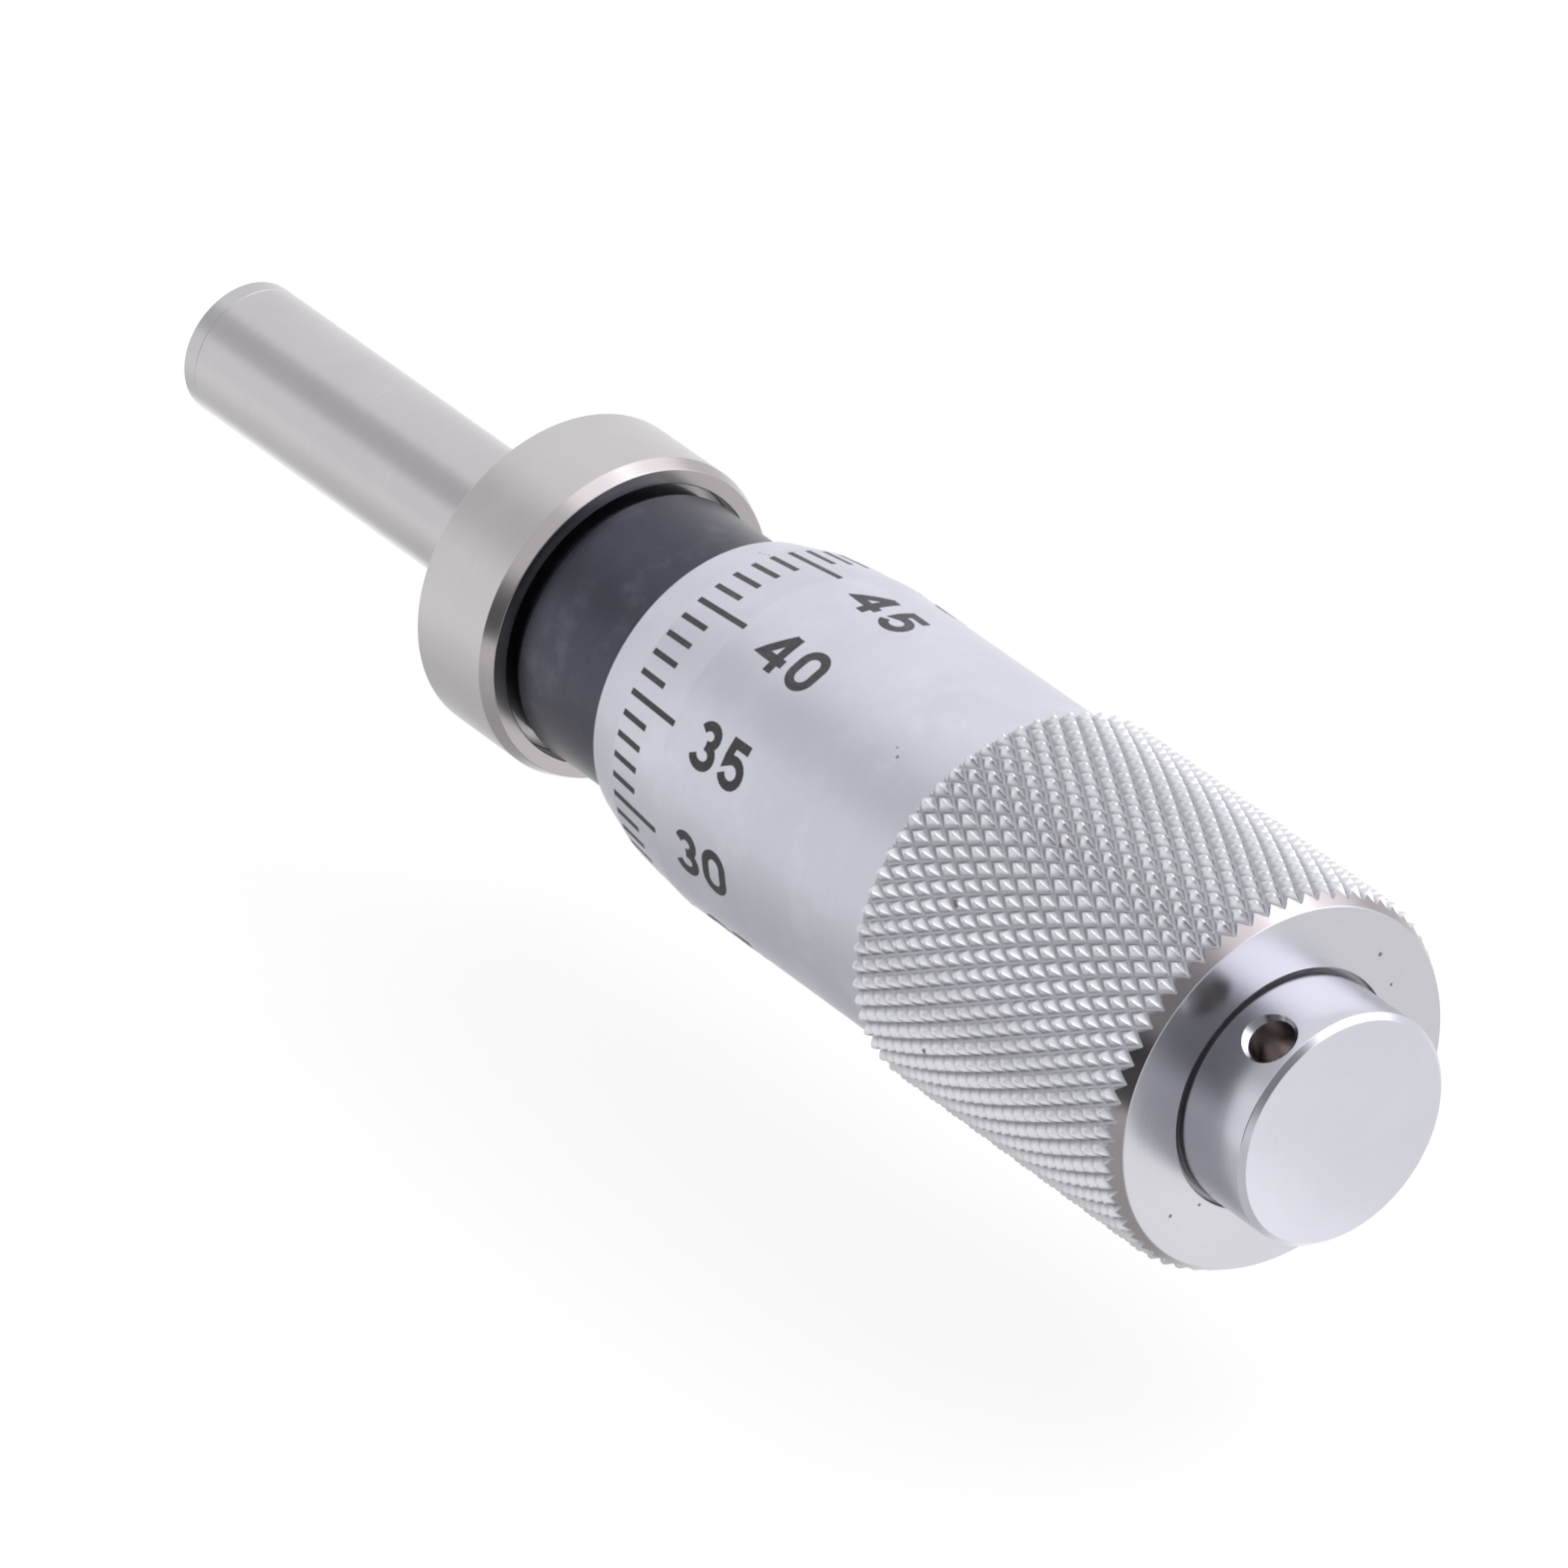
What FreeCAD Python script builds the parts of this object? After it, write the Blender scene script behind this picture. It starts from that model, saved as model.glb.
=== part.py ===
import FreeCAD, Part
import math
import os
from FreeCAD import Vector

# Plain micrometer head, 0 to 25 mm, with a half millimetre screw and 50 divisions on the thimble.
# Frame: the screw's axis is X, with the measuring tip towards -X and the thimble towards +X, and +Z up.
# The origin is the centre of the mounting collar's front face.
# The head is modelled as it is set in the rest pose, a little past its 5 mm reading.

# Reading and travel
screw_range = 25.0
rest_reading = 5.06
zero_edge_x = 7.51

# Mounting collar
collar_radius = 7.70
collar_length = 5.54
collar_front_chamfer = 0.30
collar_rear_chamfer_length = 0.70
collar_rear_chamfer_depth = 0.28
collar_recess_radius = 6.73
collar_recess_depth = 1.20

# Stem: the fixed inner sleeve that guides the spindle and holds the nut thread
boss_radius = 6.00
stem_radius = 5.60
guide_length = 7.50
nut_length = 8.00
screw_relief_gap = 0.30
stem_edge_chamfer = 0.20
taper_start_radius = 5.42
taper_end_radius = 5.12
taper_length = 7.30
slot_count = 3
slot_width = 0.60
slot_extra_length = 0.60

# Graduated sleeve
sleeve_radius = 6.50
sleeve_spigot_radius = 6.25
sleeve_spigot_reach = 0.20
sleeve_spigot_chamfer = 0.40
sleeve_tail = 2.00
sleeve_seat_gap = 0.05
sleeve_bore_clearance = 0.02
spanner_hole_radius = 0.50
spanner_hole_behind_collar = 1.20
spanner_hole_angle = -90.0

# Adjusting nut
nut_radius = 6.30
nut_ring_length = 5.00
nut_ring_gap = 0.30
nut_ring_chamfer = 0.25
notch_count = 4
notch_width = 1.20
notch_depth = 1.00

# Spindle and its tip
spindle_radius = 3.25
spindle_reach = 23.89
tip_thickness = 1.00
tip_chamfer = 0.15
guide_clearance = 0.015
screw_radius = 3.45
screw_clearance = 0.05
screw_margin = 0.24
screw_end_chamfer = 0.15
neck_radius = 3.15
neck_length = 0.50
cone_large_radius = 3.90
cone_small_radius = 3.40
cone_relief = 0.20
stud_radius = 2.42
stud_length = 3.40
stud_chamfer = 0.25

# Thimble
thimble_radius = 8.285
thimble_edge_radius = 7.22
thimble_break_radius = 7.857
edge_bevel_length = 2.22
scale_bevel_length = 3.51
smooth_length = 14.98
rear_chamfer_length = 0.99
rear_chamfer_depth = 0.58
lip_clearance = 0.06
lip_length = 4.40
cavity_radius = 6.95
end_wall = 4.96
cap_recess_radius = 5.62
cap_recess_depth = 0.30

# Knurl: raised diamonds that two sets of crossed helical grooves leave
knurl_length = 16.99
knurl_radius = 9.00
knurl_depth = 0.38
knurl_count = 62
knurl_helix_angle = 30.0
knurl_first_row = 0.40
knurl_turn = 0.0
knurl_front_chamfer = 0.15

# Setting cap
cap_radius = 5.42
cap_height = 4.06
cap_rim_chamfer = 0.25
cap_base_chamfer = 0.12
cap_crown = 0.70
cap_thread_length = 1.40
cap_thread_clearance = 0.10
cap_relief_radius = 2.78
cap_hole_radius = 1.05
cap_hole_mouth_radius = 1.33
cap_hole_from_top = 1.82
cap_hole_angle = 61.5

# Places worked out from the sizes above
collar_recess_x = collar_length - collar_recess_depth
thimble_edge_x = zero_edge_x + rest_reading
break_x = thimble_edge_x + edge_bevel_length
smooth_x = break_x + scale_bevel_length
knurl_start_x = smooth_x + smooth_length
knurl_end_x = knurl_start_x + knurl_length
thimble_face_x = knurl_end_x + rear_chamfer_length
cavity_end_x = thimble_face_x - end_wall
cap_seat_x = thimble_face_x - cap_recess_depth
cap_top_x = thimble_face_x + cap_height
cap_thread_end_x = cap_seat_x + cap_thread_length
nut_start_x = guide_length + screw_range
stem_end_x = nut_start_x + nut_length
sleeve_end_x = zero_edge_x + screw_range + sleeve_tail
screw_start_x = guide_length + rest_reading + screw_margin
screw_end_x = stem_end_x + rest_reading
stud_end_x = cap_seat_x + stud_length
knurl_root_radius = knurl_radius - knurl_depth
knurl_core_radius = (cavity_radius + knurl_root_radius) / 2
knurl_row_step = math.pi * knurl_radius / knurl_count / math.tan(math.radians(knurl_helix_angle))


def turned(outline):
    """Solid of revolution about X from (x, radius) points listed in order."""
    points = [Vector(x, 0, r) for x, r in outline]
    face = Part.Face(Part.makePolygon(points + points[:1]))
    return face.revolve(Vector(0, 0, 0), Vector(1, 0, 0), 360)


def outward(angle):
    """Unit vector across the axis, at an angle in degrees from -Y towards +Z."""
    a = math.radians(angle)
    return Vector(0, -math.cos(a), math.sin(a))


def cross_drill(x, angle, radius, inner, outer):
    """Radial drill at x, from the inner to the outer distance from the axis."""
    way = outward(angle)
    return Part.makeCylinder(radius, outer - inner, Vector(x, 0, 0) + way * inner, way)


def cone_radius(x):
    """Radius of the taper seat that the spindle and the thimble share."""
    share = (x - cavity_end_x) / (cap_seat_x - cavity_end_x)
    return cone_large_radius + share * (cone_small_radius - cone_large_radius)


def taper_radius(x):
    """Radius of the tapered end of the stem, which the adjusting nut closes."""
    share = (x - (stem_end_x - taper_length)) / taper_length
    return taper_start_radius + share * (taper_end_radius - taper_start_radius)


def make_collar():
    c = collar_front_chamfer
    return turned([
        (0, boss_radius),
        (0, collar_radius - c),
        (c, collar_radius),
        (collar_length - collar_rear_chamfer_length, collar_radius),
        (collar_length, collar_radius - collar_rear_chamfer_depth),
        (collar_length, collar_recess_radius),
        (collar_recess_x, collar_recess_radius),
        (collar_recess_x, boss_radius),
    ])


def make_stem():
    bore = spindle_radius + guide_clearance
    relief = screw_radius + screw_relief_gap
    nut_bore = screw_radius + screw_clearance
    c = stem_edge_chamfer
    taper_x = stem_end_x - taper_length
    body = turned([
        (0, bore + c),
        (0, boss_radius),
        (collar_recess_x, boss_radius),
        (collar_recess_x, stem_radius),
        (taper_x, stem_radius),
        (taper_x, taper_start_radius),
        (stem_end_x - c, taper_radius(stem_end_x - c)),
        (stem_end_x, taper_end_radius - c),
        (stem_end_x, nut_bore + c),
        (stem_end_x - c, nut_bore),
        (nut_start_x, nut_bore),
        (nut_start_x, relief),
        (guide_length, relief),
        (guide_length, bore),
        (c, bore),
    ])
    slot_x = taper_x - slot_extra_length
    for k in range(slot_count):
        slot = Part.makeBox(
            stem_end_x - slot_x + 1, slot_width, 2 * stem_radius,
            Vector(slot_x, -slot_width / 2, 0),
        )
        slot.rotate(Vector(0, 0, 0), Vector(1, 0, 0), 360 * k / slot_count)
        body = body.cut(slot)
    return body


def make_graduated_sleeve():
    bore = stem_radius + sleeve_bore_clearance
    front_x = collar_recess_x + sleeve_seat_gap
    spigot_x = collar_length + sleeve_spigot_reach
    body = turned([
        (front_x, bore),
        (front_x, sleeve_spigot_radius),
        (spigot_x, sleeve_spigot_radius),
        (spigot_x + sleeve_spigot_chamfer, sleeve_radius),
        (sleeve_end_x, sleeve_radius),
        (sleeve_end_x, bore),
    ])
    hole_x = collar_length + spanner_hole_behind_collar
    hole = cross_drill(hole_x, spanner_hole_angle, spanner_hole_radius, bore - 0.1, sleeve_radius + 1)
    return body.cut(hole)


def make_adjusting_nut():
    start_x = sleeve_end_x + nut_ring_gap
    end_x = start_x + nut_ring_length
    c = nut_ring_chamfer
    ring = turned([
        (start_x, taper_radius(start_x)),
        (start_x, nut_radius - c),
        (start_x + c, nut_radius),
        (end_x - c, nut_radius),
        (end_x, nut_radius - c),
        (end_x, taper_radius(end_x)),
    ])
    for k in range(notch_count):
        notch = Part.makeBox(
            notch_depth + 1, notch_width, nut_radius,
            Vector(end_x - notch_depth, -notch_width / 2, 0),
        )
        notch.rotate(Vector(0, 0, 0), Vector(1, 0, 0), 360 * k / notch_count)
        ring = ring.cut(notch)
    return ring


def make_measuring_tip():
    return turned([
        (-spindle_reach, 0),
        (-spindle_reach, spindle_radius - tip_chamfer),
        (-spindle_reach + tip_chamfer, spindle_radius),
        (-spindle_reach + tip_thickness, spindle_radius),
        (-spindle_reach + tip_thickness, 0),
    ])


def make_spindle():
    c = screw_end_chamfer
    neck_x = cavity_end_x - neck_length
    shoulder_x = cap_seat_x - cone_relief
    return turned([
        (-spindle_reach + tip_thickness, 0),
        (-spindle_reach + tip_thickness, spindle_radius),
        (screw_start_x - neck_length, spindle_radius),
        (screw_start_x - neck_length, neck_radius),
        (screw_start_x, neck_radius),
        (screw_start_x, screw_radius - c),
        (screw_start_x + c, screw_radius),
        (screw_end_x - c, screw_radius),
        (screw_end_x, screw_radius - c),
        (screw_end_x, neck_radius),
        (neck_x, neck_radius),
        (cavity_end_x, neck_radius),
        (cavity_end_x, cone_large_radius),
        (shoulder_x, cone_radius(shoulder_x)),
        (shoulder_x, stud_radius),
        (stud_end_x - stud_chamfer, stud_radius),
        (stud_end_x, stud_radius - stud_chamfer),
        (stud_end_x, 0),
    ])


def knurl_point(row, step, radius):
    """Corner of the knurl's net: a row along the axis and a half pitch around it."""
    x = knurl_start_x + knurl_first_row + row * knurl_row_step
    return Vector(x, 0, 0) + outward(knurl_turn + 180 * step / knurl_count) * radius


def triangle(*corners):
    return Part.Face(Part.makePolygon(list(corners) + [corners[0]]))


def end_ring(row, start):
    """Flat end of the knurled ring, cut through a row of points."""
    rim = []
    for step in range(start, start + 2 * knurl_count):
        radius = knurl_radius if (step - row) % 2 == 0 else knurl_root_radius
        rim.append(knurl_point(row, step, radius))
    outer = Part.makePolygon(rim + rim[:1])
    centre = Vector(rim[0].x, 0, 0)
    inner = Part.Wire(Part.makeCircle(knurl_core_radius, centre, Vector(1, 0, 0)))
    return Part.Face([outer, inner])


def make_knurled_ring():
    """Ring of four-sided points. The points of one row stand over the gaps of the next."""
    first_row = -math.ceil(knurl_first_row / knurl_row_step) - 1
    last_row = math.ceil((thimble_face_x - knurl_start_x) / knurl_row_step) + 1
    faces = [end_ring(first_row, 0), end_ring(last_row, 0)]
    for row in range(first_row, last_row + 1):
        for step in range(row % 2, 2 * knurl_count, 2):
            tip = knurl_point(row, step, knurl_radius)
            left = knurl_point(row, step - 1, knurl_root_radius)
            right = knurl_point(row, step + 1, knurl_root_radius)
            if row > first_row:
                front = knurl_point(row - 1, step, knurl_root_radius)
                faces.append(triangle(tip, front, left))
                faces.append(triangle(tip, right, front))
            if row < last_row:
                back = knurl_point(row + 1, step, knurl_root_radius)
                faces.append(triangle(tip, left, back))
                faces.append(triangle(tip, back, right))
    front_x = knurl_point(first_row, 0, 0).x
    back_x = knurl_point(last_row, 0, 0).x
    tube = Part.makeCylinder(knurl_core_radius, back_x - front_x, Vector(front_x, 0, 0), Vector(1, 0, 0))
    faces.append(tube.Faces[0])
    ring = Part.Compound(faces)
    ring.sewShape()
    return Part.makeSolid(ring.Shells[0])


def knurl_blank():
    """Plain band with both end chamfers. It stands a knurl's depth proud, and trims the ring's ends."""
    proud_radius = knurl_radius + knurl_depth
    front = knurl_front_chamfer
    rear_slope = rear_chamfer_length / rear_chamfer_depth
    return turned([
        (knurl_start_x, knurl_core_radius),
        (knurl_start_x, knurl_radius - front),
        (knurl_start_x + front + knurl_depth, proud_radius),
        (knurl_end_x - rear_slope * knurl_depth, proud_radius),
        (thimble_face_x, knurl_radius - rear_chamfer_depth),
        (thimble_face_x, knurl_core_radius),
    ])


def make_thimble():
    lip = sleeve_radius + lip_clearance
    lip_end_x = thimble_edge_x + lip_length
    body = turned([
        (thimble_edge_x, lip),
        (thimble_edge_x, thimble_edge_radius),
        (break_x, thimble_break_radius),
        (smooth_x, thimble_radius),
        (knurl_start_x, thimble_radius),
        (knurl_start_x, knurl_core_radius),
        (thimble_face_x, knurl_core_radius),
        (thimble_face_x, cap_recess_radius),
        (cap_seat_x, cap_recess_radius),
        (cap_seat_x, cone_small_radius),
        (cavity_end_x, cone_large_radius),
        (cavity_end_x, cavity_radius),
        (lip_end_x, cavity_radius),
        (lip_end_x, lip),
    ])
    return body.fuse(make_knurled_ring().common(knurl_blank()))


def make_setting_cap():
    bore = stud_radius + cap_thread_clearance
    body = turned([
        (cap_seat_x, bore + cap_base_chamfer),
        (cap_seat_x, cap_radius - cap_base_chamfer),
        (cap_seat_x + cap_base_chamfer, cap_radius),
        (cap_top_x - cap_rim_chamfer, cap_radius),
        (cap_top_x, cap_radius - cap_rim_chamfer),
        (cap_top_x, 0),
        (cap_top_x - cap_crown, 0),
        (cap_top_x - cap_crown, cap_relief_radius),
        (cap_thread_end_x, cap_relief_radius),
        (cap_thread_end_x, bore),
        (cap_seat_x + cap_base_chamfer, bore),
    ])
    hole_x = cap_top_x - cap_hole_from_top
    body = body.cut(cross_drill(hole_x, cap_hole_angle, cap_hole_radius, 0, cap_radius + 1))
    way = outward(cap_hole_angle)
    flare = cap_hole_mouth_radius - cap_hole_radius
    mouth = Part.makeCone(
        cap_hole_radius, cap_hole_mouth_radius + flare, 2 * flare,
        Vector(hole_x, 0, 0) + way * (cap_radius - flare), way,
    )
    return body.cut(mouth)


pieces = {
    "mounting_collar": make_collar,
    "stem": make_stem,
    "graduated_sleeve": make_graduated_sleeve,
    "adjusting_nut": make_adjusting_nut,
    "measuring_tip": make_measuring_tip,
    "spindle": make_spindle,
    "thimble": make_thimble,
    "setting_cap": make_setting_cap,
}

os.makedirs("parts", exist_ok=True)
for name, make in pieces.items():
    shape = make()
    if not shape.isValid() or len(shape.Solids) != 1:
        raise ValueError(name + " is not one valid solid")
    shape.Solids[0].exportStep("parts/" + name + ".step")
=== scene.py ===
import bmesh
import bpy
import math
from mathutils import Matrix, Vector


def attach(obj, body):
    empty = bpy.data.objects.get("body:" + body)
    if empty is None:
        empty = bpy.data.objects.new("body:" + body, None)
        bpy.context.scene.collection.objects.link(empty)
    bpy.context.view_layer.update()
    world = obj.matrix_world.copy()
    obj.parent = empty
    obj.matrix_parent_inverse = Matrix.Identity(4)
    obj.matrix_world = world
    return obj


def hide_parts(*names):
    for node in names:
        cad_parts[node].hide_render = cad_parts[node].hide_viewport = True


# Plain micrometer head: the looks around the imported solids.
# The screw's axis is X. Sizes are in millimetres here and become metres as a mesh is made.
# Angles around the axis run from -Y towards +Z, as the thimble's numbers do.
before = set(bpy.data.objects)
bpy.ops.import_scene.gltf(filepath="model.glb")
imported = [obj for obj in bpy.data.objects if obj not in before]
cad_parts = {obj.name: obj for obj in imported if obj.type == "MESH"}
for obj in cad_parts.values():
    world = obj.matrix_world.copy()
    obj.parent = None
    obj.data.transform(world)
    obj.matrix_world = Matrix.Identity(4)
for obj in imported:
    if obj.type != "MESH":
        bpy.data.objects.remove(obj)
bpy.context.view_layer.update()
MM = 0.001

# Camera and light
image_pixels = 1569
camera_place = (481.3, -348.1, 367.0)
camera_right = (0.59969, 0.80023, -0.00026)
camera_up = (-0.42960, 0.32221, 0.84358)
camera_focal_pixels = 15948
sensor_width = 36.0
floor_height = -16.0
floor_half_width = 110.0
floor_white = 0.19
floor_glow = 0.81
room_level = 1.02
room_colour = (1.0, 1.0, 1.02, 1)

# Painted shadow beside the head and painted light under it, in the floor's glow that only reflections see:
# changes and reaches
floor_side_dip = 0.36
floor_side_starts = (1.0, 6.0)
floor_side_ends = (12.0, 62.0)
floor_side_skew = 0.5
floor_under_rise = 0.30
floor_under_starts = (-2.0, 4.0)
floor_under_ends = (8.0, 14.0)

# Directions in the room with how wide each place is, in degrees, and how much it adds to the light
room_places = [
    ((-0.675, -0.430, 0.600), 4, 24, -0.38),
    ((0.20, -0.97, 0.05), 14, 34, -0.90),
    ((0.675, -0.440, 0.592), 16, 42, -0.74),
    ((0.02, 0.25, 0.97), 12, 30, 0.95),
    ((0.00, 0.75, 0.66), 12, 32, 0.95),
    ((0.60, 0.62, 0.50), 12, 40, 1.45),
]

# Lamps: name, place, aim, width, height, watts and colour
lamps = [
    ("key_softbox", (60, 330, 460), (20, 0, 0), 160, 160, 0.30, (1, 1, 1)),
]

# Reading
screw_range = 25.0
rest_reading = 5.06
zero_edge_x = 7.51
divisions = 50
thimble_reading = 5.867
zero_line_angle = 180.0

# Mounting collar
collar_radius = 7.70
collar_length = 5.54
collar_front_chamfer = 0.30
collar_rear_chamfer_length = 0.70
collar_rear_chamfer_depth = 0.28
collar_recess_radius = 6.73
collar_recess_depth = 1.20
boss_radius = 6.00

# Graduated sleeve
sleeve_radius = 6.50
sleeve_bore_radius = 5.62
sleeve_spigot_radius = 6.25
sleeve_spigot_reach = 0.20
sleeve_spigot_chamfer = 0.40
sleeve_tail = 2.00
sleeve_seat_gap = 0.05
spanner_hole_radius = 0.50
spanner_hole_behind_collar = 1.20
spanner_hole_angle = -90.0
spanner_hole_flare = 0.05
sleeve_line_width = 0.14
sleeve_datum_reach = 0.9
sleeve_mark_length = 1.5
sleeve_long_mark_length = 2.3
sleeve_number_width = 0.95
sleeve_number_height = 1.50
sleeve_number_gap = 0.30
sleeve_number_stroke = 0.19
sleeve_number_offset = 3.35

# Spindle and its tip
spindle_radius = 3.25
spindle_reach = 23.89
tip_thickness = 1.00
tip_chamfer = 0.15
tip_joint = 0.004
guide_length = 7.50
nut_length = 8.00
screw_radius = 3.45
screw_margin = 0.24
screw_end_chamfer = 0.15
neck_radius = 3.15
neck_length = 0.50
cone_large_radius = 3.90
cone_small_radius = 3.40
cone_relief = 0.20
stud_radius = 2.42
stud_length = 3.40
stud_chamfer = 0.25

# Thimble
thimble_radius = 8.285
thimble_edge_radius = 7.22
thimble_break_radius = 7.857
edge_bevel_length = 2.22
scale_bevel_length = 3.51
smooth_length = 14.98
rear_chamfer_length = 0.99
rear_chamfer_depth = 0.58
lip_radius = 6.56
lip_length = 4.40
cavity_radius = 6.95
end_wall = 4.96
cap_recess_radius = 5.62
cap_recess_depth = 0.30

# Knurl
knurl_length = 16.99
knurl_radius = 9.00
knurl_depth = 0.38
knurl_count = 62
knurl_helix_angle = 30.0
knurl_first_row = 0.23
knurl_turn = 1.5
knurl_front_chamfer = 0.15
knurl_rows_before = 2
knurl_rows_after = 3
knurl_sharp_angle = 62

# Slope of one diamond from the groove to its worn top: share of the way out, share of the height
knurl_slope = [(1.0, 0.0), (0.90, 0.02), (0.78, 0.12), (0.30, 0.82), (0.15, 0.97), (0.07, 1.0)]

# Graduations of the thimble
short_line_start = 2.35
short_line_end = 4.15
long_line_end = 5.85
line_width = 0.28
number_start = 7.28
number_height = 2.25
number_width = 1.62
number_gap = 0.35
number_stroke = 0.44
wide_digit_share = 1.12
paint_lift = 0.010
stroke_step = 0.25
mitre_limit = 0.55

# Setting cap
cap_radius = 5.42
cap_height = 4.06
cap_rim_chamfer = 0.25
cap_base_chamfer = 0.12
cap_crown = 0.70
cap_thread_length = 1.40
cap_bore_radius = 2.52
cap_relief_radius = 2.78
cap_hole_radius = 1.05
cap_hole_mouth_radius = 1.33
cap_hole_from_top = 1.82
cap_hole_angle = 61.5

# Drills: their sides, where the cap's one starts, how far the sleeve's one reaches in, and the holes' edges
drill_steps = 96
cap_drill_start = 0.50
sleeve_drill_reach = 0.40
hole_sharp_angle = 30

# Roundings of the turned edges, and the most that one takes of a run between two corners
longest_share = 0.45
hidden_edge = 0.01
joint_edge = 0.02
fine_edge = 0.03
spigot_edge = 0.04
soft_edge = 0.05
outer_edge = 0.06
rim_edge = 0.08
cavity_edge = 0.10
break_edge = 0.30
scale_edge = 0.50

# How far from a corner a finish ends: the seat, mouth and wall of the recess, the chamfer, the collar's rear
seat_margin = 0.02
mouth_margin = 0.05
wall_margin = 0.005
chamfer_margin = 0.07
collar_margin = 0.10

# Marks that use has left: distance along the axis, angle, radius and size
barrel_marks = [
    (14.05, 94.8, 7.65, 0.09),
    (14.35, 94.9, 7.73, 0.08),
    (14.65, 95.0, 7.82, 0.09),
    (14.95, 95.1, 7.87, 0.08),
    (30.10, 60.2, 8.285, 0.12),
    (29.70, 62.5, 8.285, 0.08),
]
face_marks = [
    (51.26, 137.2, 6.91, 0.15),
    (51.26, 152.6, 6.42, 0.11),
    (51.26, -43.1, 5.95, 0.11),
    (51.26, -34.3, 7.12, 0.13),
]

# How round the turned pieces are
turn_steps = 256
edge_steps = 4
merge_distance = 0.001

# Places worked out from the sizes above
collar_recess_x = collar_length - collar_recess_depth
thimble_edge_x = zero_edge_x + rest_reading
break_x = thimble_edge_x + edge_bevel_length
smooth_x = break_x + scale_bevel_length
knurl_start_x = smooth_x + smooth_length
knurl_end_x = knurl_start_x + knurl_length
thimble_face_x = knurl_end_x + rear_chamfer_length
cavity_end_x = thimble_face_x - end_wall
cap_seat_x = thimble_face_x - cap_recess_depth
cap_top_x = thimble_face_x + cap_height
cap_thread_end_x = cap_seat_x + cap_thread_length
stem_end_x = guide_length + screw_range + nut_length
sleeve_front_x = collar_recess_x + sleeve_seat_gap
sleeve_end_x = zero_edge_x + screw_range + sleeve_tail
screw_start_x = guide_length + rest_reading + screw_margin
screw_end_x = stem_end_x + rest_reading
stud_end_x = cap_seat_x + stud_length
knurl_root_radius = knurl_radius - knurl_depth
knurl_core_radius = (cavity_radius + knurl_root_radius) / 2
knurl_row_step = math.pi * knurl_radius / knurl_count / math.tan(math.radians(knurl_helix_angle))
division_angle = 360.0 / divisions


def outward(angle):
    """Unit vector across the axis, at an angle in degrees from -Y towards +Z."""
    a = math.radians(angle)
    return Vector((0, -math.cos(a), math.sin(a)))


def place(x, angle, radius):
    """Point of the scene, in metres, from a distance along the axis, an angle around it and a radius."""
    return (Vector((x, 0, 0)) + outward(angle) * radius) * MM


class Signal:
    """Output of a node, with the arithmetic that adds Math nodes."""

    def __init__(self, graph, socket):
        self.graph = graph
        self.socket = socket

    def __getitem__(self, output):
        return Signal(self.graph, self.socket.node.outputs[output])

    def __add__(self, other):
        return self.graph.math("ADD", self, other)

    def __sub__(self, other):
        return self.graph.math("SUBTRACT", self, other)

    def __mul__(self, other):
        return self.graph.math("MULTIPLY", self, other)

    def __truediv__(self, other):
        return self.graph.math("DIVIDE", self, other)

    def __pow__(self, other):
        return self.graph.math("POWER", self, other)

    def __radd__(self, other):
        return self.graph.math("ADD", other, self)

    def __rsub__(self, other):
        return self.graph.math("SUBTRACT", other, self)

    def __rmul__(self, other):
        return self.graph.math("MULTIPLY", other, self)


class Graph:
    """Adds nodes to a shader or geometry tree and links them."""

    def __init__(self, tree):
        self.tree = tree
        tree.nodes.clear()

    def add(self, kind, settings=None, sockets=None):
        node = self.tree.nodes.new(kind)
        for name, value in (settings or {}).items():
            setattr(node, name, value)
        for key, value in (sockets or {}).items():
            if isinstance(value, Signal):
                self.tree.links.new(value.socket, node.inputs[key])
            else:
                node.inputs[key].default_value = value
        return Signal(self, node.outputs[0]) if node.outputs else node

    def math(self, operation, *values):
        return self.add("ShaderNodeMath", {"operation": operation}, dict(enumerate(values)))

    def smooth_step(self, value, low, high):
        """0 below the low value and 1 above the high one, with a soft change between."""
        return self.add("ShaderNodeMapRange", {"interpolation_type": "SMOOTHSTEP"},
                        {"Value": value, "From Min": low, "From Max": high})

    def mixed(self, share, first, second):
        """Colour between two others."""
        node = self.add("ShaderNodeMix", {"data_type": "RGBA"}, {0: share, 6: first, 7: second})
        return Signal(self, node.socket.node.outputs[2])


# Finishes

def round_axis(graph):
    """Place along the axis, distance from it and direction across it, in millimetres."""
    coords = graph.add("ShaderNodeTexCoord")["Object"]
    parts = graph.add("ShaderNodeSeparateXYZ", None, {0: coords})
    x = parts["X"] / MM
    y = parts["Y"] / MM
    z = parts["Z"] / MM
    radius = (y * y + z * z + 1e-6) ** 0.5
    side = graph.add("ShaderNodeCombineXYZ", None, {0: y / radius, 1: z / radius, 2: 0.0})
    return coords, x, radius, side


def noise(graph, vector, scale, detail=2.0, rough=0.5, depth=None):
    """Noise from 0 to 1. With a depth it also changes along a fourth coordinate."""
    sockets = {"Vector": vector, "Scale": scale, "Detail": detail, "Roughness": rough}
    if depth is None:
        return graph.add("ShaderNodeTexNoise", None, sockets)
    sockets["W"] = depth
    return graph.add("ShaderNodeTexNoise", {"noise_dimensions": "4D"}, sockets)


def scratches(graph, coords, along, across, turn, level):
    """Few thin scuffs that run one way. 1 on a scuff and 0 elsewhere."""
    turned = graph.add("ShaderNodeMapping", None, {
        "Vector": coords, "Rotation": turn, "Scale": (across, along, across),
    })
    streaks = noise(graph, turned, 1.0, 1.0)
    places = noise(graph, coords, 260.0, 1.0)
    return graph.smooth_step(streaks, level, level + 0.03) * graph.smooth_step(places, 0.55, 0.68)


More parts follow.
